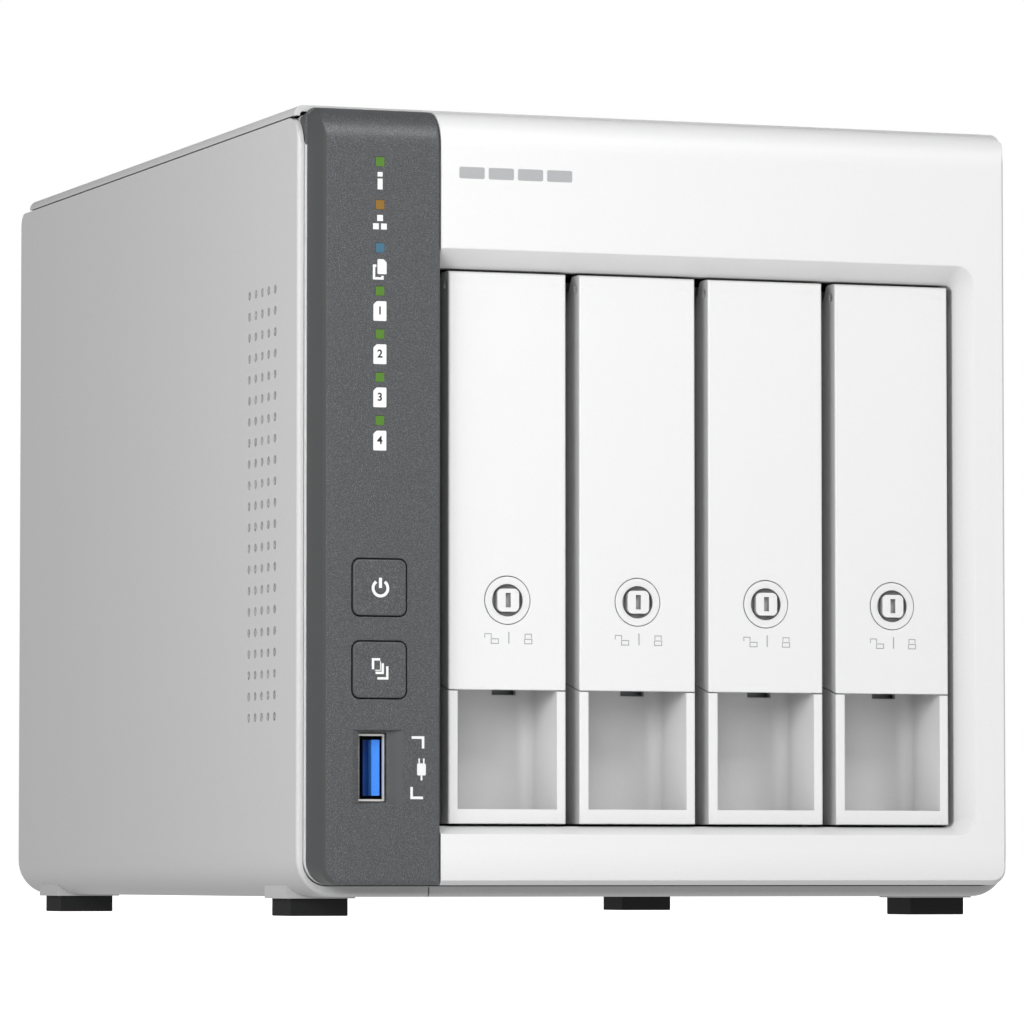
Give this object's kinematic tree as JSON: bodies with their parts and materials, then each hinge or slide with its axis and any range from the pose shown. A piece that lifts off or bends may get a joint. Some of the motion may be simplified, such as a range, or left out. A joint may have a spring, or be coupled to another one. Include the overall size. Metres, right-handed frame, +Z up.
{
  "type": "network attached storage",
  "caption": "Desktop network storage unit: sheet-metal case, white front with upright drive trays and finger pockets, dark control strip with lights, buttons and a USB socket.",
  "frame": {"origin": "on the floor under the middle of the enclosure", "axes": "+Z up, +Y towards the back, the front faces -Y, +X to the right seen from the front"},
  "size_m": [0.16, 0.2194, 0.168],
  "materials": {
    "white_steel": "satin",
    "white_plastic": "fine texture",
    "grey_plastic": "metallic speckle",
    "green_light": "translucent",
    "amber_light": "translucent",
    "blue_light": "translucent",
    "steel": "plain",
    "blue_plastic": "gloss",
    "circuit_board": "solder mask",
    "black_plastic": "moulded",
    "zinc_steel": "galvanised",
    "brass": "turned",
    "aluminium": "extruded",
    "cast_aluminium": "cast",
    "rubber": "moulded"
  },
  "bodies": {
    "chassis": {"main_cover": "white_steel", "left_cover": "white_steel", "front_bezel": "white_plastic", "control_strip": "grey_plastic", "green_light_pipes": "green_light", "amber_light_pipe": "amber_light", "blue_light_pipe": "blue_light", "front_usb_shell": "steel", "front_usb_tongue": "blue_plastic", "front_board": "circuit_board", "indicator_leds": "white_plastic", "push_switches": "black_plastic", "ribbon_cable": "white_plastic", "drive_cage": "zinc_steel", "upper_guides": "black_plastic", "lower_guides": "black_plastic", "backplane_board": "circuit_board", "drive_connectors": "black_plastic", "link_connector": "black_plastic", "mainboard": "circuit_board", "board_standoffs": "brass", "board_chips": "black_plastic", "heatsink": "aluminium", "coin_cell": "steel", "machine_screws": "zinc_steel", "fan_frame": "black_plastic", "fan_screws": "zinc_steel", "rear_panel": "white_steel", "network_jacks": "steel", "rear_usb_port": "steel", "power_jack": "black_plastic", "foot_front_left": "rubber", "foot_front_right": "rubber", "foot_rear_left": "rubber", "foot_rear_right": "rubber"},
    "power_button": {"power_button": "grey_plastic"},
    "copy_button": {"copy_button": "grey_plastic"},
    "reset_button": {"reset_button": "black_plastic"},
    "fan_rotor": {"fan_rotor": "black_plastic"},
    "tray_1": {"tray_carrier_1": "white_plastic", "hinge_pin_1": "steel", "hard_drive_1": "cast_aluminium"},
    "handle_1": {"tray_handle_1": "white_plastic"},
    "lock_1": {"tray_lock_1": "white_plastic"},
    "tray_2": {"tray_carrier_2": "white_plastic", "hinge_pin_2": "steel", "hard_drive_2": "cast_aluminium"},
    "handle_2": {"tray_handle_2": "white_plastic"},
    "lock_2": {"tray_lock_2": "white_plastic"},
    "tray_3": {"tray_carrier_3": "white_plastic", "hinge_pin_3": "steel", "hard_drive_3": "cast_aluminium"},
    "handle_3": {"tray_handle_3": "white_plastic"},
    "lock_3": {"tray_lock_3": "white_plastic"},
    "tray_4": {"tray_carrier_4": "white_plastic", "hinge_pin_4": "steel", "hard_drive_4": "cast_aluminium"},
    "handle_4": {"tray_handle_4": "white_plastic"},
    "lock_4": {"tray_lock_4": "white_plastic"}
  },
  "joints": [
    {"name": "power_button_press", "type": "slide", "parent": "chassis", "child": "power_button", "axis": [0, 1, 0], "range_m": [0, 0.0005], "stiffness_N_per_m": 800},
    {"name": "copy_button_press", "type": "slide", "parent": "chassis", "child": "copy_button", "axis": [0, 1, 0], "range_m": [0, 0.0005], "stiffness_N_per_m": 800},
    {"name": "reset_button_press", "type": "slide", "parent": "chassis", "child": "reset_button", "axis": [0, -1, 0], "range_m": [0, 0.0005], "stiffness_N_per_m": 400},
    {"name": "fan_spin", "type": "hinge", "parent": "chassis", "child": "fan_rotor", "pos_m": [0.01178, 0.088, 0.084], "axis": [0, 1, 0], "continuous": true},
    {"name": "tray_1_slide", "type": "slide", "parent": "chassis", "child": "tray_1", "axis": [0, -1, 0], "range_m": [0, 0.175]},
    {"name": "tray_1_handle_hinge", "type": "hinge", "parent": "tray_1", "child": "handle_1", "pos_m": [-0.03527, -0.1035, 0.13115], "axis": [-1, 0, 0], "range_deg": [0, 60]},
    {"name": "tray_1_lock_turn", "type": "hinge", "parent": "handle_1", "child": "lock_1", "pos_m": [-0.03527, -0.1058, 0.06555], "axis": [0, 1, 0], "range_deg": [0, 90]},
    {"name": "tray_2_slide", "type": "slide", "parent": "chassis", "child": "tray_2", "axis": [0, -1, 0], "range_m": [0, 0.175]},
    {"name": "tray_2_handle_hinge", "type": "hinge", "parent": "tray_2", "child": "handle_2", "pos_m": [-0.00627, -0.1035, 0.13115], "axis": [-1, 0, 0], "range_deg": [0, 60]},
    {"name": "tray_2_lock_turn", "type": "hinge", "parent": "handle_2", "child": "lock_2", "pos_m": [-0.00627, -0.1058, 0.06555], "axis": [0, 1, 0], "range_deg": [0, 90]},
    {"name": "tray_3_slide", "type": "slide", "parent": "chassis", "child": "tray_3", "axis": [0, -1, 0], "range_m": [0, 0.175]},
    {"name": "tray_3_handle_hinge", "type": "hinge", "parent": "tray_3", "child": "handle_3", "pos_m": [0.02273, -0.1035, 0.13115], "axis": [-1, 0, 0], "range_deg": [0, 60]},
    {"name": "tray_3_lock_turn", "type": "hinge", "parent": "handle_3", "child": "lock_3", "pos_m": [0.02273, -0.1058, 0.06555], "axis": [0, 1, 0], "range_deg": [0, 90]},
    {"name": "tray_4_slide", "type": "slide", "parent": "chassis", "child": "tray_4", "axis": [0, -1, 0], "range_m": [0, 0.175]},
    {"name": "tray_4_handle_hinge", "type": "hinge", "parent": "tray_4", "child": "handle_4", "pos_m": [0.05173, -0.1035, 0.13115], "axis": [-1, 0, 0], "range_deg": [0, 60]},
    {"name": "tray_4_lock_turn", "type": "hinge", "parent": "handle_4", "child": "lock_4", "pos_m": [0.05173, -0.1058, 0.06555], "axis": [0, 1, 0], "range_deg": [0, 90]}
  ]
}
